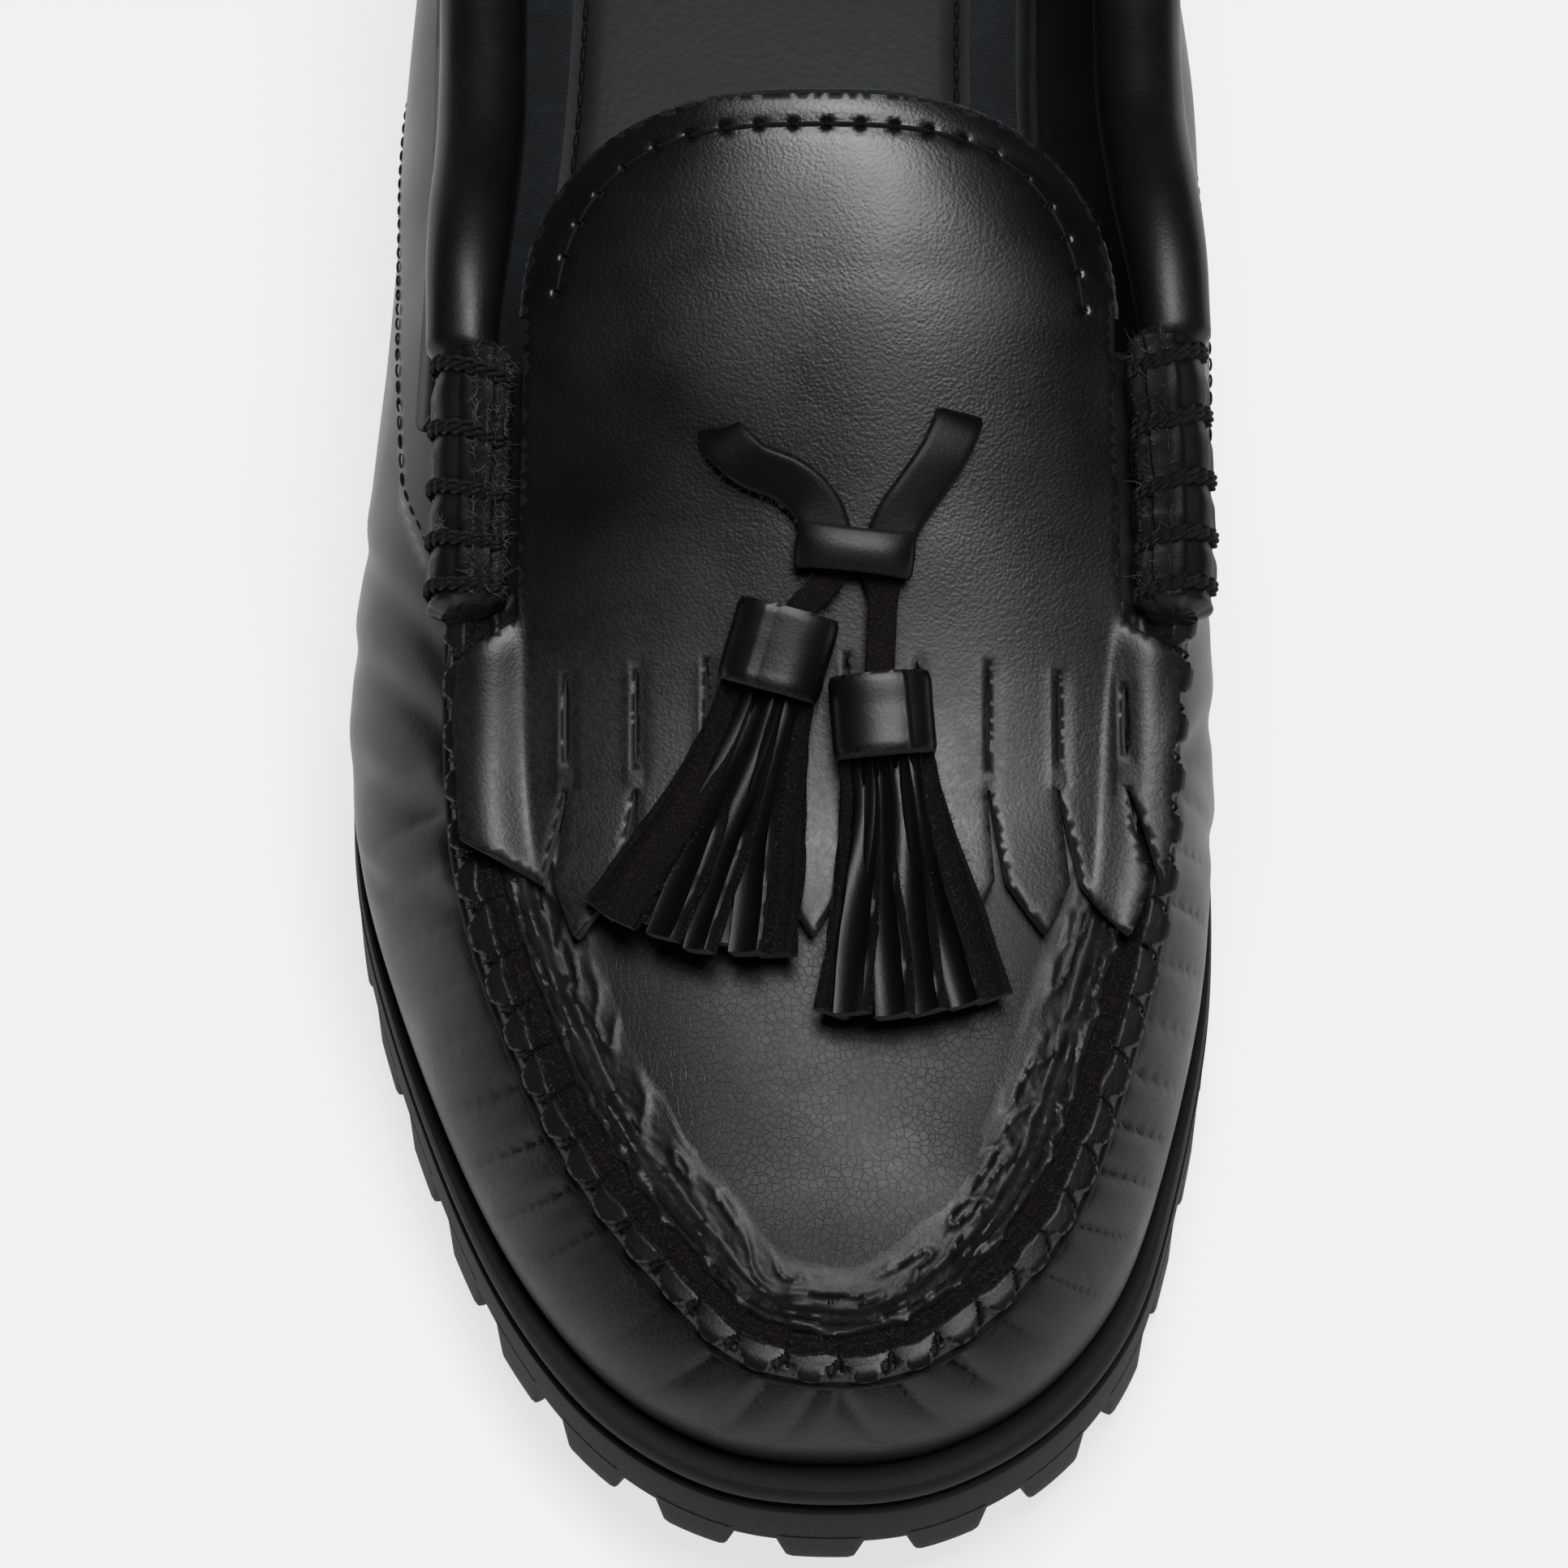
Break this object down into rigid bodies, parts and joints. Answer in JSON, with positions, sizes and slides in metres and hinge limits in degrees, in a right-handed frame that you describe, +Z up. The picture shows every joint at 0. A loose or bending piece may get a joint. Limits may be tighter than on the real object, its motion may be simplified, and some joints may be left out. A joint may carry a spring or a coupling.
{
  "type": "kiltie loafer",
  "caption": "Right kiltie loafer with a tassel: hollow upper with a raised apron seam, rolled collar, slotted fringed tongue piece, beefrolls, and a lugged sole with a heel.",
  "frame": {"origin": "middle of the bounding box in plan, at the ground under the sole", "axes": "+Z up, toe towards -Y and heel towards +Y, inner side of the right foot towards +X"},
  "size_m": [0.1067, 0.3006, 0.0967],
  "materials": {
    "rubber": "matt moulded",
    "lining": "matt lining",
    "upper_leather": "semi-gloss, fine grain",
    "collar_leather": "semi-gloss",
    "kiltie_leather": "semi-gloss, scuffed",
    "lace_leather": "matt, raw edges"
  },
  "bodies": {
    "root": {"outsole": "rubber", "heel": "rubber", "insole": "lining", "upper": "upper_leather", "collar": "collar_leather", "collar_lace_lateral": "lace_leather", "collar_lace_heel": "lace_leather", "collar_lace_medial": "lace_leather", "beefroll_lateral": "upper_leather", "beefroll_medial": "upper_leather", "kiltie": "kiltie_leather", "tassel_ring": "lace_leather", "thong_lateral": "lace_leather", "thong_medial": "lace_leather", "strand_lateral": "lace_leather", "strand_medial": "lace_leather", "tassel_cap_lateral": "kiltie_leather", "tassel_cap_medial": "kiltie_leather", "fringe_lateral": "lace_leather", "fringe_medial": "lace_leather"}
  },
  "joints": []
}
